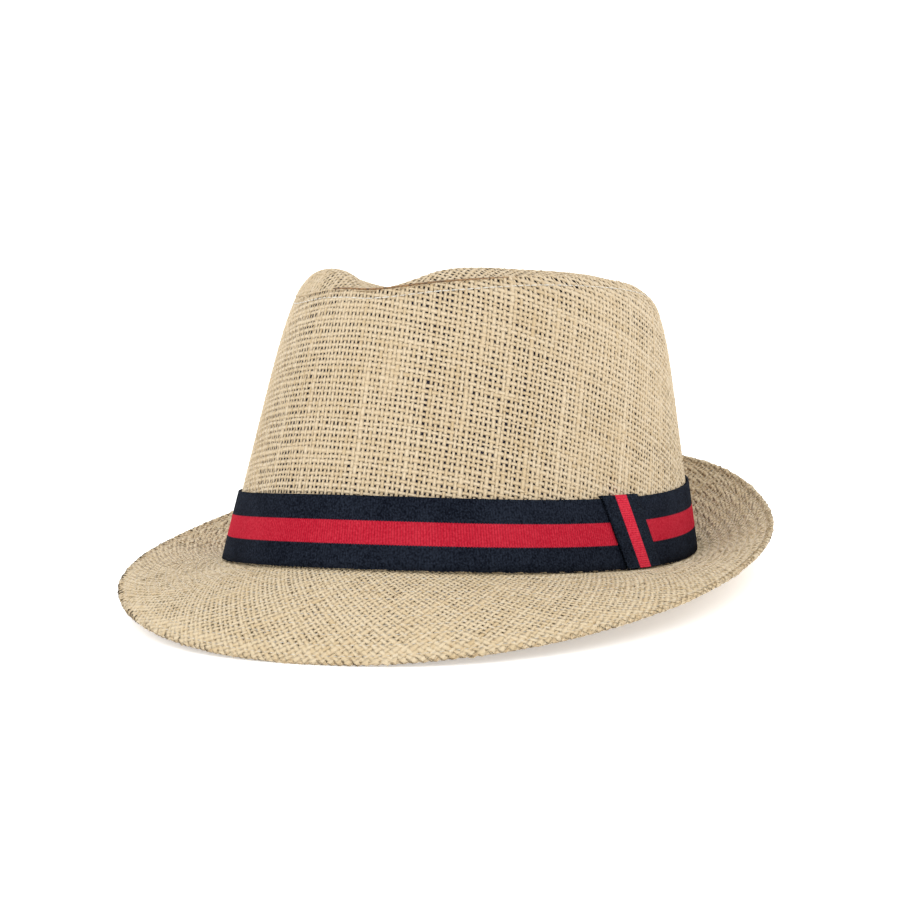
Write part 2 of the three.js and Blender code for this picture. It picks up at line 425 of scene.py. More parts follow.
    def arc(self) -> tuple[Array, Array]:
        """Angles from the front to the back, and the length of the break line up to each."""
        angles = np.linspace(0, np.pi, 721)
        speed = np.linalg.norm(self.run(angles), axis=-1)
        steps = (speed[1:] + speed[:-1]) / 2 * np.diff(angles)
        return angles, np.concatenate([[0.0], np.cumsum(steps)])


def smooth(value: Array, most: float) -> Array:
    """0 at 0 and below, 1 at most and above, with level ends."""
    share = np.clip(value / most, 0, 1)
    return share * share * (3 - 2 * share)


def past(value: Array, span: tuple[float, float]) -> Array:
    """0 up to the span's first value and 1 at so much more as its second."""
    return smooth(value - span[0], span[1])


def unit(vectors: Array) -> Array:
    """The vectors with a length of 1."""
    return vectors / np.maximum(np.linalg.norm(vectors, axis=-1, keepdims=True), 1e-12)


FORM = HatForm()


class Place:
    """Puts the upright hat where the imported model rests."""

    forward = 0.00146807
    above_floor = 0.01165489

    def __init__(self) -> None:
        """Makes the turn that tips the hat back, and the shift of the break line's middle."""
        turn = FORM.tipped_back
        self.turn = np.array(
            [[1, 0, 0], [0, math.cos(turn), math.sin(turn)], [0, -math.sin(turn), math.cos(turn)]]
        )
        self.shift = np.array([0.0, -self.forward, self.above_floor])

    def world(self, points: Array) -> Array:
        """Points of the upright hat in the model's own frame."""
        return points @ self.turn.T + self.shift


PLACE = Place()


# Woven cloth


@dataclass
class Spots:
    """Places on a cloth, with how it faces, packs its strands and bends at each of them."""

    points: Array
    facing: Array
    inside: Array
    packing: Array
    bent: Array


class Cloth:
    """A flat cut of cloth laid on the blocked shape."""

    low: tuple[float, float]
    high: tuple[float, float]
    side: float = 1.0

    def surface(self, a: Array, b: Array) -> Array:
        """The point of the shape at the surface's own two coordinates."""
        raise NotImplementedError

    def coordinates(self, u: Array, v: Array) -> tuple[Array, Array, Array]:
        """From places on the flat cut: the surface's coordinates, and which places are on it."""
        raise NotImplementedError

    def at(self, a: Array, b: Array, lift: float = 0.0) -> tuple[Array, Array]:
        """Points at the surface's own coordinates, raised from it, and where the cloth faces there."""
        step = 1e-4
        along = self.surface(a + step, b) - self.surface(a - step, b)
        up = self.surface(a, b + step) - self.surface(a, b - step)
        facing = self.side * unit(np.cross(along, up))
        return self.surface(a, b) + lift * facing, facing

    def packing(self, a: Array, b: Array) -> Array:
        """How much wider than usual the strands are at the surface's coordinates."""
        return np.ones_like(a)

    def bent(self, a: Array, b: Array) -> Array:
        """Where the cloth bends so tightly that a strand needs a step between its crossings."""
        return np.zeros_like(a, bool)

    def spots(self, u: Array, v: Array) -> Spots:
        """Lays places of the flat cut on the shape."""
        a, b, inside = self.coordinates(u, v)
        points, facing = self.at(a, b)
        return Spots(points, facing, inside, self.packing(a, b), self.bent(a, b))


class CrownCloth(Cloth):
    """The crown's side: a cut in the shape of an opened cone, closed by a seam down the back."""

    cone = 0.376
    turned = math.radians(3.7)
    closing = 0.14
    left_start = (0.7, 0.6)
    left_end = 0.8
    right_start = (0.35, 0.7)

    def __init__(self, sunk: float = 0.4 * MM) -> None:
        """Takes how deep the cloth lies, and finds how far the cut reaches."""
        self.sunk = sunk
        self.angles, self.lengths = FORM.arc()
        wide = self.lengths[-1] / self.cone + self.turned
        top = self.cone - FORM.crown_height
        self.low = (-self.cone * math.sin(wide), 0.0)
        self.high = (self.cone * math.sin(wide), self.cone - top * math.cos(wide))

    def coordinates(self, u: Array, v: Array) -> tuple[Array, Array, Array]:
        """From the flat cut to the angle and the share of the height."""
        radius = np.hypot(u, self.cone - v)
        length = (np.arctan2(u, self.cone - v) - self.turned) * self.cone
        half = self.lengths[-1]
        angle = np.sign(length) * np.interp(np.abs(length), self.lengths, self.angles)
        share = (self.cone - radius) / FORM.slant(angle)
        inside = (np.abs(length) <= half) & (share >= 0) & (share <= 1)
        return angle, np.clip(share, 0, 1), inside

    def packing(self, a: Array, b: Array) -> Array:
        """Strands are pressed wider at both sides than in front."""
        left = past(a, self.left_start) * smooth(math.pi - a, self.left_end)
        return 1 + self.closing * left + self.closing * past(-a, self.right_start)

    def surface(self, a: Array, b: Array) -> Array:
        """The crown's side."""
        return FORM.side(a, b, -self.sunk)


class TipCloth(Cloth):
    """The crown's tip: an oval cut, pressed into the dent."""

    def __init__(self, sunk: float = 0.4 * MM) -> None:
        """Takes how deep the cloth lies, and finds the seam as seen from the tip's middle."""
        self.sunk = sunk
        reach = FORM.tip_length / 2 + 2 * MM
        self.low, self.high = (-reach, -reach), (reach, reach)
        turn = np.linspace(-np.pi, np.pi, 1441)
        seam = FORM.seam_point(turn)
        self.turns = turn
        self.headings = np.unwrap(np.arctan2(seam[:, 0], -(seam[:, 1] - FORM.tip_setback)))
        self.radii = np.hypot(seam[:, 0], seam[:, 1] - FORM.tip_setback)

    def coordinates(self, u: Array, v: Array) -> tuple[Array, Array, Array]:
        """From the flat cut to level places left of the middle and behind the front."""
        heading, reach = np.arctan2(u, -v), np.hypot(u, v)
        radius = np.interp(heading, self.headings, self.radii)
        inside = reach <= radius
        pull = np.where(inside, 1.0, radius / np.maximum(reach, 1e-9))
        return u * pull, v * pull, inside

    def surface(self, a: Array, b: Array) -> Array:
        """The tip's dished face."""
        heading, reach = np.arctan2(a, -b), np.hypot(a, b)
        angle = np.interp(heading, self.headings, self.turns)
        radius = np.interp(heading, self.headings, self.radii)
        share = np.clip(reach / radius, 0, 1)
        height = FORM.tip_height(angle, share) - self.sunk
        return np.stack([a, b + FORM.tip_setback, height], -1)


class BrimCloth(Cloth):
    """One layer of the brim: a flat ring of cloth."""

    # A span is where a change starts and over how much it grows: round the hat in radians from
    # the front, or out past the edge in metres.
    widest = 1.05 * FORM.brim_width
    fold = 0.6 * MM
    bend_reach = 1.5 * MM
    hem_width = 7 * MM
    hem_soft = 3 * MM
    hem_closing = 0.3
    edge_closing = 0.15
    edge_span = (-1.2 * MM, 0.8 * MM)
    row_closing = 0.16
    row_span = (0.8, 0.5)
    back_closing = 0.34
    back_span = (0.9, 0.9)
    row_pitch = 3.8 * MM
    row_depth = 0.1 * MM
    back_row_depth = 0.2 * MM
    back_row_span = (0.9, 0.5)
    search_rounds = 14
    turn_radius = 0.07

    def __init__(self, grain: float, sunk: float, inner: float, past_edge: float, turned_down: bool) -> None:
        """Describes the layer.

        Args:
            grain: the weft's angle to the hat's length, in degrees.
            sunk: how deep under the brim's upper face the layer lies.
            inner: where it starts, out from the break line.
            past_edge: how far it goes on past the edge, folded under.
            turned_down: whether the cloth's right side faces down.
        """
        self.grain = math.radians(grain)
        self.sunk = sunk
        self.inner = inner
        self.past_edge = past_edge
        self.side = 1.0 if turned_down else -1.0
        reach = FORM.head_length / 2 + self.widest + max(past_edge, 0) + 2 * MM
        self.low, self.high = (-reach, -reach), (reach, reach)

    def width(self, angle: Array) -> Array:
        """Break line to the fold at the edge."""
        return FORM.brim_width * FORM.section("width", angle) - self.fold

    def packing(self, a: Array, b: Array) -> Array:
        """Strands lie closer in the pressed hem and where the brim turns up behind."""
        beyond = b - self.width(a)
        behind = self.back_closing * past(np.abs(a), self.back_span)
        hem = self.hem_closing * smooth(beyond + self.hem_width, self.hem_soft)
        edge = self.edge_closing * past(beyond, self.edge_span)
        rows = self.row_closing * past(np.abs(a), self.row_span)
        return 1 + edge + rows * np.cos(2 * math.pi * beyond / self.row_pitch) + np.maximum(behind, hem)

    def bent(self, a: Array, b: Array) -> Array:
        """The fold at the edge."""
        return b > self.width(a) - self.bend_reach

    def coordinates(self, u: Array, v: Array) -> tuple[Array, Array, Array]:
        """From the flat cut to the angle and the distance from the break line."""
        x = u * math.cos(self.grain) - v * math.sin(self.grain)
        y = u * math.sin(self.grain) + v * math.cos(self.grain)
        place = np.stack([x, y], -1)
        angle = np.arctan2(x / FORM.head_width, -y / FORM.head_length)
        for _ in range(self.search_rounds):
            run = FORM.run(angle)[..., :2]
            speed = np.linalg.norm(run, axis=-1)
            away = place - FORM.break_point(angle)[..., :2]
            off = (away * run).sum(-1) / speed
            distance = (away * FORM.outward(angle)[..., :2]).sum(-1)
            angle = angle + off / (speed * (1 + np.maximum(distance, 0) / self.turn_radius))
        outermost = self.width(angle) + self.past_edge
        inside = (distance >= self.inner) & (distance <= outermost)
        return angle, np.clip(distance, self.inner, outermost), inside

    def surface(self, a: Array, b: Array) -> Array:
        """The layer's face, folded round the edge where it goes on past it."""
        width = self.width(a)
        point, along = FORM.brim_at(a, np.minimum(b, width))
        normal = np.stack([-along[..., 1], along[..., 0]], -1)
        radius = self.fold
        beyond = np.maximum(b - width, 0)
        turn = np.minimum(beyond / radius, np.pi)[..., None]
        under = np.maximum(beyond - np.pi * radius, 0)[..., None]
        fold = radius * (np.cos(turn) - 1) * normal + radius * np.sin(turn) * along - under * along
        deeper = (self.back_row_depth - self.row_depth) * past(np.abs(a), self.back_row_span)
        waves = 1 - np.cos(2 * math.pi * (width - b) / self.row_pitch)
        quilted = (self.row_depth + deeper) * waves * (beyond == 0)
        spot = point - (self.sunk + quilted)[..., None] * normal + np.where(beyond[..., None] > 0, fold, 0.0)
        out, up = spot[..., 0], spot[..., 1] - FORM.gap
        placed = FORM.break_point(a) + FORM.outward(a) * out[..., None]
        placed[..., 2] += up
        return placed


class BrimStrip(BrimCloth):
    """The brim's upper layer: a bent strip cut on the bias and stretched round the hat."""

    slack = 4.5 * MM
    bend = 0.5
    even_at = 0.045

    def __init__(self, grain: float, sunk: float, inner: float, past_edge: float) -> None:
        """Takes the grain's angle to the strip, its depth, its inner edge and how far it folds under."""
        super().__init__(grain, sunk, inner, past_edge, False)
        self.angles, self.lengths = FORM.arc()
        self.half = self.lengths[-1] + math.pi * self.slack
        along = np.linspace(-1, 1, 41) * self.half
        flat = np.concatenate([self.flat(along, across) for across in (inner, self.widest + past_edge)])
        self.low = tuple(flat.min(0) - MM)
        self.high = tuple(flat.max(0) + MM)

    def flat(self, along: Array, across: float) -> Array:
        """Places on the flat cut, in the grain's own directions, of places along and across the strip."""
        turn, radius = (along - self.even_at) / self.bend, self.bend - across
        x, y = radius * np.sin(turn), self.bend - radius * np.cos(turn)
        return np.stack(
            [
                x * math.cos(self.grain) + y * math.sin(self.grain),
                y * math.cos(self.grain) - x * math.sin(self.grain),
            ],
            -1,
        )

    def coordinates(self, u: Array, v: Array) -> tuple[Array, Array, Array]:
        """From the flat cut to the angle and the distance from the break line."""
        x = u * math.cos(self.grain) - v * math.sin(self.grain)
        y = self.bend - u * math.sin(self.grain) - v * math.cos(self.grain)
        distance = self.bend - np.hypot(x, y)
        along = np.arctan2(x, y) * self.bend + self.even_at
        length = np.abs(along) / self.half * self.lengths[-1]
        angle = np.sign(along) * np.interp(length, self.lengths, self.angles)
        outermost = self.width(angle) + self.past_edge
        inside = (np.abs(along) <= self.half) & (distance >= self.inner) & (distance <= outermost)
        return angle, np.clip(distance, self.inner, outermost), inside


def drift(rng: np.random.Generator, rows: int, length: int, reach: int) -> Array:
    """Smooth random rows with a spread of 1, that change over about reach steps."""
    window = np.hanning(reach + 2)[1:-1]
    raw = rng.standard_normal((rows, length + reach))
    out = np.stack([np.convolve(row, window, "valid")[:length] for row in raw])
    return out / np.sqrt((window**2).sum())


@dataclass
class Weave:
    """A plain weave of flat paper-straw strands, uneven as hand-fed straw is."""

    warp_pitch: float = 1.79 * MM
    weft_pitch: float = 2.03 * MM
    warp_width: float = 1.19 * MM
    weft_width: float = 1.36 * MM
    thickness: float = 0.32 * MM
    lift: float = 0.12 * MM
    uneven_place: float = 0.06
    uneven_width: float = 0.065
    thick_share: float = 0.9
    thick_soft: float = 0.6
    thick_gain: float = 0.45
    weft_thick: float = 0.3
    patch: float = 0.055
    lean: float = 0.1
    tone_step: float = 0.37
    # Over how many crossings each unevenness changes.
    place_reach: int = 9
    patch_reach: int = 16
    patch_blur: int = 14
    patch_sum: float = 3.6
    width_reach: int = 7
    thick_reach: int = 26
    gauge_range: tuple = (0.72, 1.5)
    spacing_range: tuple = (0.93, 1.9)
    seed: int = 1

    def grid(self, cloth: Cloth, rng: np.random.Generator) -> tuple[Array, Array, Array, Array]:
        """Places of the crossings on the flat cut, and how wide each strand is at each."""
        warps = int((cloth.high[0] - cloth.low[0]) / self.warp_pitch) + 3
        wefts = int((cloth.high[1] - cloth.low[1]) / self.weft_pitch) + 3
        u = cloth.low[0] - self.warp_pitch + self.warp_pitch * np.arange(warps)[:, None]
        v = cloth.low[1] - self.weft_pitch + self.weft_pitch * np.arange(wefts)[None, :]
        reach = self.place_reach
        sway = self.uneven_place * (rng.standard_normal((warps, 1)) + drift(rng, warps, wefts, reach))
        rise = self.uneven_place * (rng.standard_normal((wefts, 1)) + drift(rng, wefts, warps, reach))
        u = u + self.warp_pitch * sway
        v = v + self.weft_pitch * rise.T
        open_spots = self.patch * drift(rng, wefts, warps, self.patch_reach).T
        blur = np.hanning(self.patch_blur) / self.patch_sum
        open_spots = np.stack([np.convolve(row, blur, "same") for row in open_spots])
        warp_gauge = self.gauge(rng, warps, wefts, self.thick_gain) - open_spots
        weft_gauge = self.gauge(rng, wefts, warps, self.weft_thick * self.thick_gain).T - open_spots
        return u, v, warp_gauge, weft_gauge

    def gauge(self, rng: np.random.Generator, rows: int, length: int, thick_gain: float) -> Array:
        """How wide each strand is along its way, as a share of the usual width."""
        own = self.uneven_width * rng.standard_normal((rows, 1))
        along = self.uneven_width * drift(rng, rows, length, self.width_reach)
        thick = smooth(drift(rng, rows, length, self.thick_reach) - self.thick_share, self.thick_soft)
        return np.clip(1 + own + along + thick_gain * thick, *self.gauge_range)

    def lay(self, cloth: Cloth, name: str) -> dict[str, bpy.types.Object]:
        """Lays both sets of strands on a cloth.

        Args:
            cloth: the flat cut and where it goes.
            name: what the pieces' names start with.

        Returns:
            The warp and weft as objects whose meshes are paths of crossings.
        """
        rng = np.random.default_rng(self.seed)
        u, v, warp_gauge, weft_gauge = self.grid(cloth, rng)
        over = np.where(np.indices(u.shape).sum(0) % 2 == 0, 1.0, -1.0)
        plan = (
            ("warp", 0, warp_gauge, over, self.warp_pitch),
            ("weft", 1, weft_gauge, -over, self.weft_pitch),
        )
        made = {}
        for kind, across, gauge, rise, pitch in plan:
            count = u.shape[across]
            shape = (count, 1) if across == 0 else (1, count)
            tone = rng.standard_normal(count).reshape(shape)
            offset = self.tone_step * np.arange(count).reshape(shape)
            fine_u, fine_v, gauge, rise = (self.finer(values, 1 - across) for values in (u, v, gauge, rise))
            spots = cloth.spots(fine_u, fine_v)
            beside = np.linalg.norm(np.gradient(spots.points, axis=across), axis=-1)
            gauge = gauge * spots.packing * np.clip(beside / pitch, *self.spacing_range)
            data = {
                "gauge": gauge,
                "tone": tone + 0 * gauge,
                "dip": (1 - rise) / 2,
                "along": (fine_v if across == 0 else fine_u) + offset,
            }
            points = spots.points + spots.facing * (self.lift * rise)[..., None]
            lean = self.lean * rng.standard_normal(gauge.shape)
            ahead = np.gradient(spots.points, axis=1 - across)
            sideways = unit(np.cross(unit(ahead), spots.facing))
            facing = unit(spots.facing + sideways * lean[..., None])
            made[kind] = self.paths(f"{name}_{kind}", points, facing, spots, 1 - across, data)
        return made

    @staticmethod
    def finer(values: Array, axis: int) -> Array:
        """The values with one more between each two along an axis."""
        values = np.moveaxis(values, axis, 0)
        fine = np.empty((2 * len(values) - 1, values.shape[1]))
        fine[::2] = values
        fine[1::2] = (values[1:] + values[:-1]) / 2
        return np.moveaxis(fine, 0, axis)

    @staticmethod
    def paths(
        name: str, points: Array, facing: Array, spots: Spots, axis: int, data: dict
    ) -> bpy.types.Object:
        """A mesh of edges that join neighbouring crossings of each strand, in two steps where it bends."""
        inside, bent = (np.moveaxis(values, axis, 0) for values in (spots.inside, spots.bent))
        number = np.moveaxis(np.arange(spots.inside.size).reshape(spots.inside.shape), axis, 0)
        near, middle, far = number[:-1:2], number[1::2], number[2::2]
        keep = inside[:-1:2] | inside[2::2]
        split = keep & bent[1::2]
        plain = keep & ~split
        edges = np.concatenate(
            [
                np.stack([near[plain], far[plain]], 1),
                np.stack([near[split], middle[split]], 1),
                np.stack([middle[split], far[split]], 1),
            ]
        )
        used, edges = np.unique(edges, return_inverse=True)
        edges = edges.reshape(-1, 2)
        points, facing = (values.reshape(-1, 3)[used] for values in (points, facing))
        made = path_object(name, points, facing, edges)
        note(made.data, {label: np.ravel(values)[used] for label, values in data.items()})
        return made


def linked(name: str, data: bpy.types.ID) -> bpy.types.Object:
    """A new object in the scene."""
    made = bpy.data.objects.new(name, data)
    bpy.context.scene.collection.objects.link(made)
    return made


def note(mesh: bpy.types.Mesh, data: dict[str, Array]) -> None:
    """Writes named attributes, each with a number for every point, into a mesh."""
    for label, values in data.items():
        layer = mesh.attributes.new(label, "FLOAT", "POINT")
        layer.data.foreach_set("value", values.astype(np.float32))


def path_object(name: str, points: Array, facing: Array, edges: Array) -> bpy.types.Object:
    """A mesh of edges for paths that geometry nodes sweep.

    Args:
        name: the object's name.
        points: points of the upright hat.
        facing: the directions that the cloth faces there.
        edges: pairs of the points' numbers.

    Returns:
        The object.
    """
    mesh = bpy.data.meshes.new(name)
    mesh.vertices.add(len(points))
    mesh.vertices.foreach_set("co", PLACE.world(points).astype(np.float32).ravel())
    mesh.edges.add(len(edges))
    mesh.edges.foreach_set("vertices", edges.astype(np.int32).ravel())
    mesh.update()
    layer = mesh.attributes.new("facing", "FLOAT_VECTOR", "POINT")
    layer.data.foreach_set("vector", (facing @ PLACE.turn.T).astype(np.float32).ravel())
    return linked(name, mesh)


def strand_nodes() -> Nodes:
    """Sweeps a flat strip, thin at its edges, along every path of crossings."""

    def build(graph: Graph, size: dict) -> Wire:
        ring = graph.wire("GeometryNodeCurvePrimitiveCircle", sockets={"Resolution": 4, "Radius": 0.5})
        flat = {"X": size["Thickness"], "Y": size["Width"], "Z": 1.0}
        scale = graph.wire("ShaderNodeCombineXYZ", sockets=flat)
        strip = graph.wire("GeometryNodeTransform", sockets={"Geometry": ring, "Scale": scale})
        sweep = {
            "Curve": graph.lines(size["Geometry"]),
            "Profile Curve": strip,
            "Scale": graph.named("gauge"),
            "Fill Caps": True,
        }
        return graph.wire("GeometryNodeCurveToMesh", sockets=sweep)

    return Nodes("strands", {"Width": 1.4 * MM, "Thickness": 0.34 * MM}, build)


def stitch_nodes() -> Nodes:
    """Sets short rounded stitches in a row along every path."""

    def build(graph: Graph, size: dict) -> Wire:
        step = {"Curve": graph.lines(size["Geometry"]), "Length": size["Spacing"]}
        points = graph.node("GeometryNodeCurveToPoints", {"mode": "LENGTH"}, step)
        bead = graph.wire("GeometryNodeMeshUVSphere", sockets={"Segments": 6, "Rings": 4, "Radius": 1.0})
        halves = {"X": size["Thread"] / 2, "Y": size["Thread"] / 2, "Z": size["Length"] / 2}
        scale = graph.wire("ShaderNodeCombineXYZ", sockets=halves)
        stitch = graph.wire("GeometryNodeTransform", sockets={"Geometry": bead, "Scale": scale})
        uneven = graph.wire(
            "FunctionNodeRandomValue",
            {"data_type": "FLOAT"},
            {2: 1 - size["Uneven"], 3: 1 + size["Uneven"], "Seed": 5},
            out=1,
        )
        placed = graph.wire(
            "GeometryNodeInstanceOnPoints",
            sockets={
                "Points": points.outputs["Points"],
                "Instance": stitch,
                "Rotation": points.outputs["Rotation"],
                "Scale": uneven,
            },
        )
        return graph.wire("GeometryNodeRealizeInstances", sockets={"Geometry": placed})

    sizes = {"Spacing": 3.0 * MM, "Length": 2.3 * MM, "Thread": 0.3 * MM, "Uneven": 0.12}
    return Nodes("stitches", sizes, build)


def cord_nodes() -> Nodes:
    """Sweeps a round thread along every path."""

    def build(graph: Graph, size: dict) -> Wire:
        lines = graph.wire("GeometryNodeMeshToCurve", sockets={"Mesh": size["Geometry"]})
        round_thread = {"Resolution": 6, "Radius": size["Thickness"] / 2}
        ring = graph.wire("GeometryNodeCurvePrimitiveCircle", sockets=round_thread)
        sweep = {"Curve": lines, "Profile Curve": ring, "Fill Caps": True}
        return graph.wire("GeometryNodeCurveToMesh", sockets=sweep)

    return Nodes("cords", {"Thickness": 0.9 * MM}, build)


def rib_nodes() -> Nodes:
    """Raises the ribs of a grosgrain on the ribbon's outer face."""

    def build(graph: Graph, size: dict) -> Wire:
        phase = graph.named("along") / size["Pitch"] * math.pi
        rise = (phase.sine().size() - 0.6) * size["Height"] * graph.named("outer")
        normal = graph.wire("GeometryNodeInputNormal")
        offset = graph.wire("ShaderNodeVectorMath", {"operation": "SCALE"}, {0: normal, "Scale": rise})
        raised = {"Geometry": size["Geometry"], "Offset": offset}
        return graph.wire("GeometryNodeSetPosition", sockets=raised)

    return Nodes("ribs", {"Pitch": 1.0 * MM, "Height": 0.16 * MM}, build)


# Finishes


@dataclass(frozen=True)
class StrawFinish:
    """Paper straw: pale strips with darker fibres, and painted shade where they dive under others."""

    pale: tuple = (0.535, 0.435, 0.295, 1.0)
    plain: tuple = (0.425, 0.31, 0.165, 1.0)
    # Painted shade for where a strand dives under a crossing strand.
    deep: tuple = (0.28, 0.15, 0.055, 1.0)
    roughness: float = 0.62
    streaks: tuple = (220.0, 9.0, 0.4)
    fibres: float = 2600.0
    clouds: float = 38.0

    def material(self, name: str) -> bpy.types.Material:
        """The finish as a material that reads the strands' own attributes."""
        made, graph, shader = blank(name, {"Specular IOR Level": 0.32, "Sheen Weight": 0.05})
        along, tone = graph.attribute("along"), graph.attribute("tone")
        place = graph.place()
        sources = zip("XYZ", (along, tone, graph.attribute("dip")), self.streaks)
        lengthwise = {axis: source * scale for axis, source, scale in sources}
        streak = graph.noise(graph.wire("ShaderNodeCombineXYZ", sockets=lengthwise), 1.0)
        fibre = graph.noise(place, self.fibres)
        cloud = graph.noise(place, self.clouds, 3.0)
        pale = (streak * 0.8 + fibre * 0.45 + tone * 0.08 + cloud * 0.3 - 0.15).above(0.5, 0.42)
        colour = graph.mix(pale, self.plain, self.pale)
        # Painted shade: where a strand dives under a crossing one, its colour goes half way to the deep
        # colour.
        dip = graph.attribute("dip").above(0.75, 0.5)
        colour = graph.mix(dip * 0.5, colour, self.deep)
        rough = self.roughness - 0.12 + 0.24 * fibre
        relief = graph.bump(fibre + streak, 0.25)
        graph.feed(shader, {"Base Color": colour, "Roughness": rough, "Normal": relief})
        return made


# A slightly lighter, warmer copy of the straw for the brim's upper layer: painted warm bounce light.
BOUNCE_LIT_STRAW = StrawFinish(
    pale=(0.55, 0.452, 0.303, 1.0),
    plain=(0.44, 0.322, 0.168, 1.0),
    deep=(0.29, 0.155, 0.05, 1.0),
)
# A darker, browner copy of the straw for the brim's lower layer: painted shade, for that layer as seen
# through the upper layer's holes.
SHADE_DARKENED_STRAW = StrawFinish(
    pale=(0.46, 0.33, 0.165, 1.0),
    plain=(0.36, 0.24, 0.105, 1.0),
    deep=(0.2, 0.105, 0.03, 1.0),
)


@dataclass(frozen=True)
class ThreadFinish:
    """Twisted sewing thread or a cord of one colour."""

    light: tuple
    dark: tuple
    roughness: float = 0.6
    twists: float = 900.0

    def material(self, name: str) -> bpy.types.Material:
        """The finish as a material on the piece's own place."""
        made, graph, shader = blank(name, {"Specular IOR Level": 0.35, "Sheen Weight": 0.1})
        twist = graph.noise(graph.place(), self.twists)
        colour = graph.mix(twist.above(0.5, 0.2), self.dark, self.light)
        graph.feed(shader, {"Base Color": colour, "Roughness": self.roughness + 0.2 * (twist - 0.5)})
        return made


SEWING_THREAD = ThreadFinish((0.62, 0.6, 0.54, 1.0), (0.52, 0.48, 0.41, 1.0))
# Dark brown for the cord in the tip's seam: painted shade of the seam's crease.
SHADED_SEAM_FOLD = ThreadFinish((0.27, 0.15, 0.06, 1.0), (0.07, 0.038, 0.018, 1.0))
# Near-black for the crown's lining, which also stands in as painted shade for the inside seen through the
# weave's holes.
DARK_LINING = ThreadFinish((0.022, 0.018, 0.034, 1.0), (0.014, 0.011, 0.022, 1.0), 0.85)


@dataclass(frozen=True)
class GrosgrainFinish:
    """Ribbed ribbon in navy with a red centre stripe, and painted shade between its ribs."""

    navy: tuple = (0.0008, 0.0016, 0.0045, 1.0)
    navy_worn: tuple = (0.017, 0.022, 0.034, 1.0)
    red: tuple = (0.34, 0.006, 0.02, 1.0)
    red_pale: tuple = (0.47, 0.026, 0.044, 1.0)
    # Painted shade for the grooves between the ribs.
    groove_shade: tuple = (0.004, 0.004, 0.006, 1.0)
    stripe: float = 0.325
    rib: float = 1.0 * MM
    threads: float = 25 / 0.36
    grains: float = 1500.0
    fades: float = 60.0

    def material(self, name: str) -> bpy.types.Material:
        """The finish as a material that reads where on the ribbon a point lies."""
        made, graph, shader = blank(name, {"Specular IOR Level": 0.02})
        along, across = graph.attribute("along"), graph.attribute("across")
        place = graph.place()
        ridge = (along / self.rib * math.pi).sine().size()
        thread = (across * self.threads * math.pi + along / self.rib * math.pi).sine().size()
        grain = graph.noise(place, self.grains)
        fade = graph.noise(place, self.fades)
        off_centre = (across - 0.5).size() + 0.012 * ridge
        stripe = 1 - off_centre.above(self.stripe / 2 + 0.006, 0.004)
        worn = (grain * 1.1 + fade * 0.3 + thread * 0.35 - 0.45).above(0.5, 0.22)
        navy = graph.mix(worn, self.navy, self.navy_worn)
        red = graph.mix(worn, self.red, self.red_pale)
        # Painted shade: the colour goes towards the groove colour between the ribs.
        colour = graph.mix((1 - ridge) * 0.35, graph.mix(stripe, navy, red), self.groove_shade)
        relief = graph.bump(thread + grain * 0.6, 0.5)
        graph.feed(shader, {"Base Color": colour, "Roughness": 0.62 + 0.25 * grain, "Normal": relief})
        return made


def blank(name: str, fixed: dict) -> tuple[bpy.types.Material, Graph, bpy.types.Node]:
    """A new material with its graph and its shader, whose fixed values are set on its own sockets."""
    made = bpy.data.materials.new(name)
    made.use_nodes = True
    graph = Graph(made.node_tree)
    shader = made.node_tree.nodes["Principled BSDF"]
    graph.feed(shader, fixed)
    return made, graph, shader


# Pieces


class Slot(Enum):
    """The record's material slots."""

    STRAW = "straw"
    RIBBON = "ribbon"
    THREAD = "thread"


def mount(piece: bpy.types.Object, slot: Slot, *nodes: str) -> bpy.types.Object:
    """Puts a finished piece on the hat's one body.

    Args:
        piece: the finished object.
        slot: the record's material slot for the piece; not used.
        nodes: the CAD nodes that it stands for.

    Returns:
        The piece.
    """
    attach(piece, "root")
    if nodes:
        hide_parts(*nodes)
    triangles = sum(len(face.vertices) - 2 for face in piece.data.polygons)
    LOG.info("%s: %d triangles", piece.name, triangles)
    return piece


def ring_path(
    name: str, points: Array, facing: Array, closed: bool = True, kept: Array | None = None
) -> bpy.types.Object:
    """One or more rows of points as paths, for threads and stitches.

    Args:
        name: the object's name.
        points: rows of points of the upright hat.
        facing: the directions that the cloth faces there.
        closed: whether each row joins its end to its start.
        kept: which points a path goes through, where it isn't all of them.

    Returns:
        The object.
    """
    rows, count = points.shape[:2]
    number = np.arange(rows * count).reshape(rows, count)
    ahead = np.roll(number, -1, axis=1)
    edges = np.stack([number, ahead], -1)
    if not closed:
        edges = edges[:, :-1]
    edges = edges.reshape(-1, 2)
    if kept is not None:
        edges = edges[np.ravel(kept)[edges].all(1)]
    return path_object(name, points.reshape(-1, 3), facing.reshape(-1, 3), edges)


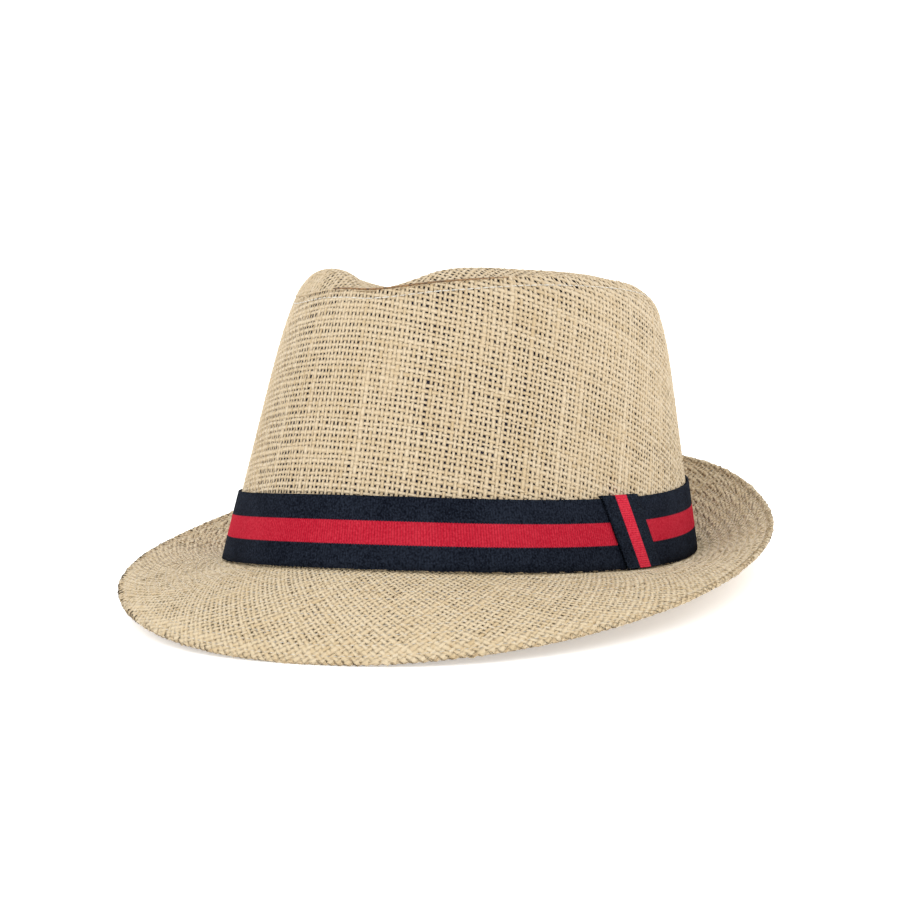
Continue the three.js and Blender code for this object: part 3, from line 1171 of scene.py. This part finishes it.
@dataclass
class WovenStraw:
    """The crown's side and tip and the brim's two layers, strand by strand."""

    crown: Weave = field(default_factory=lambda: Weave(seed=11))
    tip: Weave = field(default_factory=lambda: Weave(seed=23))
    brim: Weave = field(
        default_factory=lambda: Weave(
            warp_pitch=1.53 * MM,
            weft_pitch=1.53 * MM,
            warp_width=1.2 * MM,
            weft_width=1.23 * MM,
            thickness=0.2 * MM,
            lift=0.08 * MM,
            uneven_width=0.085,
            seed=37,
        )
    )
    brim_under: Weave = field(
        default_factory=lambda: Weave(
            warp_pitch=1.9 * MM,
            weft_pitch=1.9 * MM,
            warp_width=1.5 * MM,
            weft_width=1.5 * MM,
            thickness=0.2 * MM,
            lift=0.08 * MM,
            seed=41,
        )
    )

    def build(self) -> None:
        """Weaves every part of the cloth."""
        straw = StrawFinish().material("paper_straw")
        # The brim's lower layer takes the darker copy of the straw: painted shade.
        shaded = SHADE_DARKENED_STRAW.material("shaded_straw")
        # The brim's upper layer takes the lighter, warmer copy of the straw: painted bounce light.
        brim = BOUNCE_LIT_STRAW.material("brim_straw")
        strands = strand_nodes()
        upper = BrimStrip(45.0, 0.35 * MM, -1.0 * MM, 3.6 * MM)
        lower = BrimCloth(-15.0, 1.0 * MM, -1.0 * MM, -1.4 * MM, True)
        plan = (
            ("crown_side", self.crown, CrownCloth(), straw, "crown_side"),
            ("crown_tip", self.tip, TipCloth(), straw, "crown_tip"),
            ("brim_upper", self.brim, upper, brim, "brim"),
            ("brim_lower", self.brim_under, lower, shaded, None),
        )
        for name, weave, cloth, finish, node in plan:
            for kind, piece in weave.lay(cloth, name).items():
                width = weave.warp_width if kind == "warp" else weave.weft_width
                strands.run(piece, finish, width=width, thickness=weave.thickness)
                mount(piece, Slot.STRAW, *([node] if node else []))


@dataclass
class Lining:
    """The dark ground close behind the crown's weave: a dark lining, whose near-black colour is also painted
    shade for the crown's inside seen through the holes.
    """

    depth: float = 1.0 * MM
    wall: float = 0.14 * MM
    around: int = 180
    heights: int = 26
    rings: int = 30
    foot: float = -0.01
    top: float = 0.975

    def build(self) -> None:
        """Makes the lining of side and tip as one closed skin."""
        angles = np.linspace(-np.pi, np.pi, self.around, endpoint=False)
        skins = [self.skin(angles, self.depth), self.skin(angles, self.depth + self.wall)]
        count = skins[0].shape[1]
        points = np.concatenate([skins[0].reshape(-1, 3), skins[1].reshape(-1, 3), self.middle()])
        number = np.arange(2 * self.around * count).reshape(2, self.around, count)
        faces = []
        for layer, centre in ((number[0], len(points) - 2), (number[1], len(points) - 1)):
            ahead = np.roll(layer, -1, axis=0)
            quads = np.stack([layer[:, :-1], ahead[:, :-1], ahead[:, 1:], layer[:, 1:]], -1)
            faces += quads.reshape(-1, 4).tolist()
            faces += [[int(a), int(b), centre] for a, b in zip(layer[:, -1], ahead[:, -1])]
        outer, inner = number[0, :, 0], number[1, :, 0]
        rim = np.stack([outer, np.roll(outer, -1), np.roll(inner, -1), inner], -1)
        faces += rim.tolist()
        mesh = bpy.data.meshes.new("crown_lining")
        mesh.from_pydata(PLACE.world(points).tolist(), [], faces)
        outward_faces(mesh)
        mesh.materials.append(DARK_LINING.material("dark_lining"))
        mesh.shade_smooth()
        mount(linked("crown_lining", mesh), Slot.THREAD)

    def skin(self, angles: Array, depth: float) -> Array:
        """Points of one face of the lining, from its foot up the side and in to the tip's middle."""
        side, tip = CrownCloth(sunk=depth), TipCloth(sunk=depth)
        heights = np.linspace(self.foot, self.top, self.heights)
        turn, share = np.meshgrid(angles, heights, indexing="ij")
        wall = side.at(turn, share)[0]
        seam = FORM.seam_point(angles)
        reach = np.linspace(self.top, 1 / self.rings, self.rings - 1)[None, :, None]
        flat = (seam[:, None, :2] - np.array([0.0, FORM.tip_setback])) * reach
        return np.concatenate([wall, tip.at(flat[..., 0], flat[..., 1])[0]], 1)

    def middle(self) -> Array:
        """The middle of the tip on both faces."""
        centre = np.zeros(1)
        tips = (TipCloth(sunk=self.depth + extra) for extra in (0.0, self.wall))
        return np.concatenate([tip.at(centre, centre)[0] for tip in tips])


@dataclass
class Sewing:
    """The seam round the tip, the brim's folded edge, the back seam and the rows of stitches."""

    around: int = 480
    tip_stitch_drop: float = 0.031
    seam_shown: tuple = (-0.3, 0.95)
    seam_inset: float = 0.3 * MM
    seam_rise: float = 0.2 * MM
    seam_sinks: float = 0.9 * MM
    fold_out: float = 0.12 * MM
    rows: int = 10
    clear_of_band: float = 2.5 * MM
    back_heights: tuple = (0.2, 0.985, 60)
    back_lap: float = 2.6 * MM
    back_rows: float = 0.7
    thread_lift: float = 0.12 * MM

    def build(self) -> None:
        """Sews everything."""
        pale = SEWING_THREAD.material("sewing_thread")
        brown = SHADED_SEAM_FOLD.material("seam_fold")
        lapped = StrawFinish().material("lapped_straw")
        angles = np.linspace(-np.pi, np.pi, self.around, endpoint=False)
        stitches, cords, side = stitch_nodes(), cord_nodes(), CrownCloth(sunk=0.0)
        # The tip seam's cord is dark brown: painted crease shade.
        mount(cords.run(self.tip_seam(), brown, thickness=0.75 * MM), Slot.THREAD)
        points, facing = side.at(angles, np.full_like(angles, 1 - self.tip_stitch_drop))
        row = ring_path("tip_topstitch", points[None], facing[None])
        mount(stitches.run(row, pale, thread=0.36 * MM, length=2.8 * MM), Slot.THREAD)
        mount(cords.run(self.brim_fold(angles), lapped, thickness=1.05 * MM), Slot.STRAW)
        rows = self.brim_rows(angles)
        mount(stitches.run(rows, pale, thread=0.17 * MM, length=1.8 * MM, spacing=2.6 * MM), Slot.THREAD)
        heights = np.linspace(*self.back_heights)[None]
        points, facing = side.at(np.full_like(heights, np.pi), heights)
        lap = ring_path("back_lap", points, facing, closed=False)
        mount(strand_nodes().run(lap, lapped, width=2 * self.back_lap, thickness=0.3 * MM), Slot.STRAW)
        mount(stitches.run(self.back_seams(side, heights), pale, thread=0.26 * MM), Slot.THREAD)

    def tip_seam(self) -> bpy.types.Object:
        """The turned-in edge between side and tip, over the stretch that shows."""
        shown = np.linspace(*self.seam_shown, self.around)
        seam = FORM.side(shown, np.ones_like(shown), -self.seam_inset)
        sunk = self.seam_sinks * np.maximum(FORM.rolled(shown), FORM.dropped(shown))
        seam[..., 2] += self.seam_rise - sunk
        return ring_path("tip_seam", seam[None], upward(self.around), closed=False)

    def brim_fold(self, angles: Array) -> bpy.types.Object:
        """The filling of the brim's folded edge."""
        edge = BrimCloth(0.0, 0.35 * MM, 0.0, 0.0, False)
        width = edge.width(angles)
        middle = (edge.surface(angles, width) + edge.surface(angles, width + math.pi * edge.fold)) / 2
        points = middle + self.fold_out * FORM.outward(angles)
        return ring_path("brim_fold", points[None], upward(self.around))

    def brim_rows(self, angles: Array) -> bpy.types.Object:
        """Rows of stitches round the brim, a step apart."""
        cloth = BrimCloth(0.0, self.thread_lift, 0.0, 0.0, False)
        places = cloth.width(angles) - cloth.row_pitch * (np.arange(self.rows)[:, None] + 0.5)
        points, facing = cloth.at(np.broadcast_to(angles, places.shape), places)
        return ring_path("brim_stitches", points, facing, kept=places > self.clear_of_band)

    def back_seams(self, side: CrownCloth, heights: Array) -> bpy.types.Object:
        """Rows of stitches along both edges of the side's lapped join."""
        away = self.back_lap / np.linalg.norm(FORM.run(np.array([np.pi])), axis=-1)[0]
        turns = np.pi + self.back_rows * away * np.array([[-1.0], [1.0]]) + 0 * heights
        points, facing = side.at(turns, heights + 0 * turns, self.thread_lift)
        return ring_path("back_stitches", points, facing, closed=False)


def upward(count: int) -> Array:
    """One row of directions that all point up."""
    return np.broadcast_to(np.array([0.0, 0.0, 1.0]), (1, count, 3))


@dataclass
class Ribbon:
    """The grosgrain band and its keeper."""

    width: float = 0.025
    wall: float = 0.8 * MM
    rib: float = 1.0 * MM
    keeper_width: float = 0.02
    keeper_length: float = 0.031
    keeper_rib: float = 0.78 * MM
    keeper_angle: float = math.radians(73)
    keeper_slant: float = 0.007

    def build(self) -> None:
        """Makes the band and the keeper."""
        ribs = rib_nodes()
        finish = GrosgrainFinish(rib=self.rib)
        band = ribs.run(self.band(), finish.material("grosgrain"), pitch=self.rib)
        mount(band, Slot.RIBBON, "hat_band")
        _, lengths = FORM.arc()
        finish = GrosgrainFinish(
            rib=self.keeper_rib,
            red=(0.47, 0.01, 0.03, 1.0),
            red_pale=(0.6, 0.04, 0.065, 1.0),
            navy_worn=(0.017, 0.023, 0.035, 1.0),
        )
        keeper = ribs.run(self.keeper(), finish.material("grosgrain_keeper"), pitch=self.keeper_rib)
        mount(keeper, Slot.RIBBON, "band_loop")

    def band(self) -> bpy.types.Object:
        """The ribbon laid round the foot of the crown, as a closed strip."""
        _, lengths = FORM.arc()
        ribs = round(2 * lengths[-1] / self.rib)
        columns = ribs * 4
        angles = np.linspace(-np.pi, np.pi, columns, endpoint=False)
        speed = np.linalg.norm(FORM.run(angles), axis=-1)
        along = np.concatenate([[0.0], np.cumsum((speed + np.roll(speed, -1)) / 2)[:-1]])
        along *= ribs * self.rib / (along[-1] + speed[-1])
        outer = FORM.gap + self.wall
        foot = FORM.ribbon_foot(angles, outer)
        outside = [(share, outer) for share in np.linspace(0, 1, 9)]
        inside = [(share, FORM.gap) for share in (1.0, 0.5, 0.0)]
        loop = [self.on_side(angles, foot + share * self.width, out) for share, out in outside + inside]
        across = [share for share, _ in outside + inside]
        face = [1.0] * len(outside) + [0.0] * len(inside)
        return shell("hat_band_grosgrain", np.stack(loop, 1), along, across, face, True)

    def keeper(self) -> bpy.types.Object:
        """The short strip over the band's join, turned in over both edges."""
        inner = 2 * FORM.gap + self.wall
        outer = inner + self.wall
        turn_in = self.width + FORM.gap
        heights = np.concatenate([[0.0], np.arange(0.1, 25.4, 0.195) * MM, [turn_in + self.wall]])
        face = [(height, outer) for height in heights] + [(turn_in + self.wall, FORM.gap)]
        back = [(turn_in, FORM.gap), (turn_in, inner), (self.width / 2, inner), (0.0, inner)]
        columns = np.linspace(-0.5, 0.5, 13)
        speed = np.linalg.norm(FORM.run(np.array([self.keeper_angle])), axis=-1)[0]
        sections = []
        for height, out in face + back:
            lean = self.keeper_slant * (0.5 - height / self.width)
            angle = self.keeper_angle + (columns * self.keeper_width + lean) / speed
            foot = FORM.ribbon_foot(angle, outer)
            sections.append(self.on_side(angle, foot + height, out))
        grid = np.stack(sections, 1)
        lengthwise = np.array([height for height, _ in face + back])
        outermost = np.array([1.0] * len(heights) + [0.0] * (1 + len(back)))
        return shell("keeper_grosgrain", grid, columns + 0.5, lengthwise, outermost, False, swapped=True)

    @staticmethod
    def on_side(angles: Array, distance: Array, out: float) -> Array:
        """Points at a distance up the crown's side."""
        return FORM.side(angles, distance / FORM.slant(angles), out)


def shell(
    name: str, grid: Array, along: Array, across: Array, outer: Array, closed: bool, swapped: bool = False
) -> bpy.types.Object:
    """A closed strip from a grid of sections, with the ribbon's own coordinates.

    Args:
        name: the object's name.
        grid: points of the upright hat, sections by points round each.
        along: each section's place along the ribbon.
        across: each point's place across it.
        outer: 1 for the points on the ribbon's outer face.
        closed: whether the last section joins the first.
        swapped: whether the sections step across the ribbon and the points along it.

    Returns:
        The object.
    """
    sections, points = grid.shape[:2]
    number = np.arange(sections * points).reshape(sections, points)
    near = number if closed else number[:-1]
    far = np.roll(number, -1, axis=0) if closed else number[1:]
    quads = np.stack([near, np.roll(near, -1, 1), np.roll(far, -1, 1), far], -1).reshape(-1, 4)
    faces = quads.tolist()
    if not closed:
        faces += [number[0, ::-1].tolist(), number[-1].tolist()]
    mesh = bpy.data.meshes.new(name)
    mesh.from_pydata(PLACE.world(grid.reshape(-1, 3)).tolist(), [], faces)
    lengthwise = np.repeat(np.asarray(along, float), points)
    crosswise = np.tile(np.asarray(across, float), sections)
    if swapped:
        lengthwise, crosswise = crosswise, lengthwise
    outermost = np.tile(np.asarray(outer, float), sections)
    note(mesh, {"along": lengthwise, "across": crosswise, "outer": outermost})
    outward_faces(mesh)
    return linked(name, mesh)


def outward_faces(mesh: bpy.types.Mesh) -> None:
    """Turns every face of a closed mesh outwards."""
    work = bmesh.new()
    work.from_mesh(mesh)
    bmesh.ops.recalc_face_normals(work, faces=work.faces)
    work.to_mesh(mesh)
    work.free()


# Stage


@dataclass
class Studio:
    """A plain white floor, soft light and the camera of the photograph."""

    azimuth: float = 24.331
    elevation: float = 9.189
    distance: float = 1.03286
    roll: float = -3.308
    lens: float = 113.02
    sensor: float = 36.0
    clip_end: float = 50.0
    target: tuple = (0.0, -0.001466, 0.060626)
    aim: tuple = (-0.00122, -0.01186)
    sky: float = 1.5
    lit_point: tuple = (0.0, 0.0, 0.05)
    floor_reach: float = 8.0

    def build(self) -> None:
        """Sets the floor, the lights and the camera."""
        self.floor()
        self.light()
        self.camera()

    def camera(self) -> None:
        """The camera, aimed so that the hat stands in the frame as in the photograph."""
        azimuth, elevation = math.radians(self.azimuth), math.radians(self.elevation)
        level = math.cos(elevation)
        south = -math.cos(azimuth)
        back = Vector((math.sin(azimuth) * level, south * level, math.sin(elevation)))
        right = Vector((math.cos(azimuth), math.sin(azimuth), 0.0))
        up = back.cross(right)
        roll = math.radians(self.roll)
        across = right * math.cos(roll) + up * math.sin(roll)
        over = up * math.cos(roll) - right * math.sin(roll)
        forward = (-back + across * self.aim[0] + over * self.aim[1]).normalized()
        across = (across - forward * across.dot(forward)).normalized()
        over = across.cross(forward)
        axes = Matrix((across, over, -forward)).transposed()
        data = bpy.data.cameras.new("camera")
        data.lens = self.lens
        data.sensor_width = self.sensor
        data.clip_end = self.clip_end
        made = linked("camera", data)
        made.matrix_world = Matrix.Translation(Vector(self.target) + back * self.distance) @ axes.to_4x4()
        bpy.context.scene.camera = made

    def light(self) -> None:
        """White surroundings and three large soft lamps."""
        world = bpy.context.scene.world or bpy.data.worlds.new("world")
        bpy.context.scene.world = world
        world.use_nodes = True
        sky = world.node_tree.nodes["Background"]
        sky.inputs["Color"].default_value = (1.0, 1.0, 1.0, 1.0)
        sky.inputs["Strength"].default_value = self.sky
        lamps = (
            ("key_lamp", (-0.9, -1.3, 1.5), 1.1, 3.5),
            ("fill_lamp", (1.5, -0.9, 1.1), 1.2, 4.0),
            ("top_lamp", (0.1, 0.5, 1.9), 1.3, 1.0),
        )
        for name, place, size, power in lamps:
            data = bpy.data.lights.new(name, "AREA")
            data.shape = "DISK"
            data.size = size
            data.energy = power
            made = linked(name, data)
            made.location = place
            ahead = Vector(self.lit_point) - Vector(place)
            made.rotation_euler = ahead.to_track_quat("-Z", "Y").to_euler()

    def floor(self) -> None:
        """A wide plain white floor."""
        mesh = bpy.data.meshes.new("floor")
        corners = ((-1, -1), (1, -1), (1, 1), (-1, 1))
        points = [(x * self.floor_reach, y * self.floor_reach, 0.0) for x, y in corners]
        mesh.from_pydata(points, [], [(0, 1, 2, 3)])
        made = linked("floor", mesh)
        look = {
            "Base Color": (0.96, 0.96, 0.96, 1.0),
            "Roughness": 0.9,
            "Specular IOR Level": 0.1,
            "Emission Color": (1.0, 1.0, 1.0, 1.0),
            "Emission Strength": 0.4,
        }
        mesh.materials.append(blank("white_floor", look)[0])


def main() -> None:
    """Builds the hat and its studio."""
    logging.basicConfig(level=logging.INFO, format="%(name)s %(message)s")
    Studio().build()
    WovenStraw().build()
    Lining().build()
    Sewing().build()
    Ribbon().build()
    bpy.context.scene.view_settings.view_transform = "Standard"


if __name__ == "__main__":
    main()
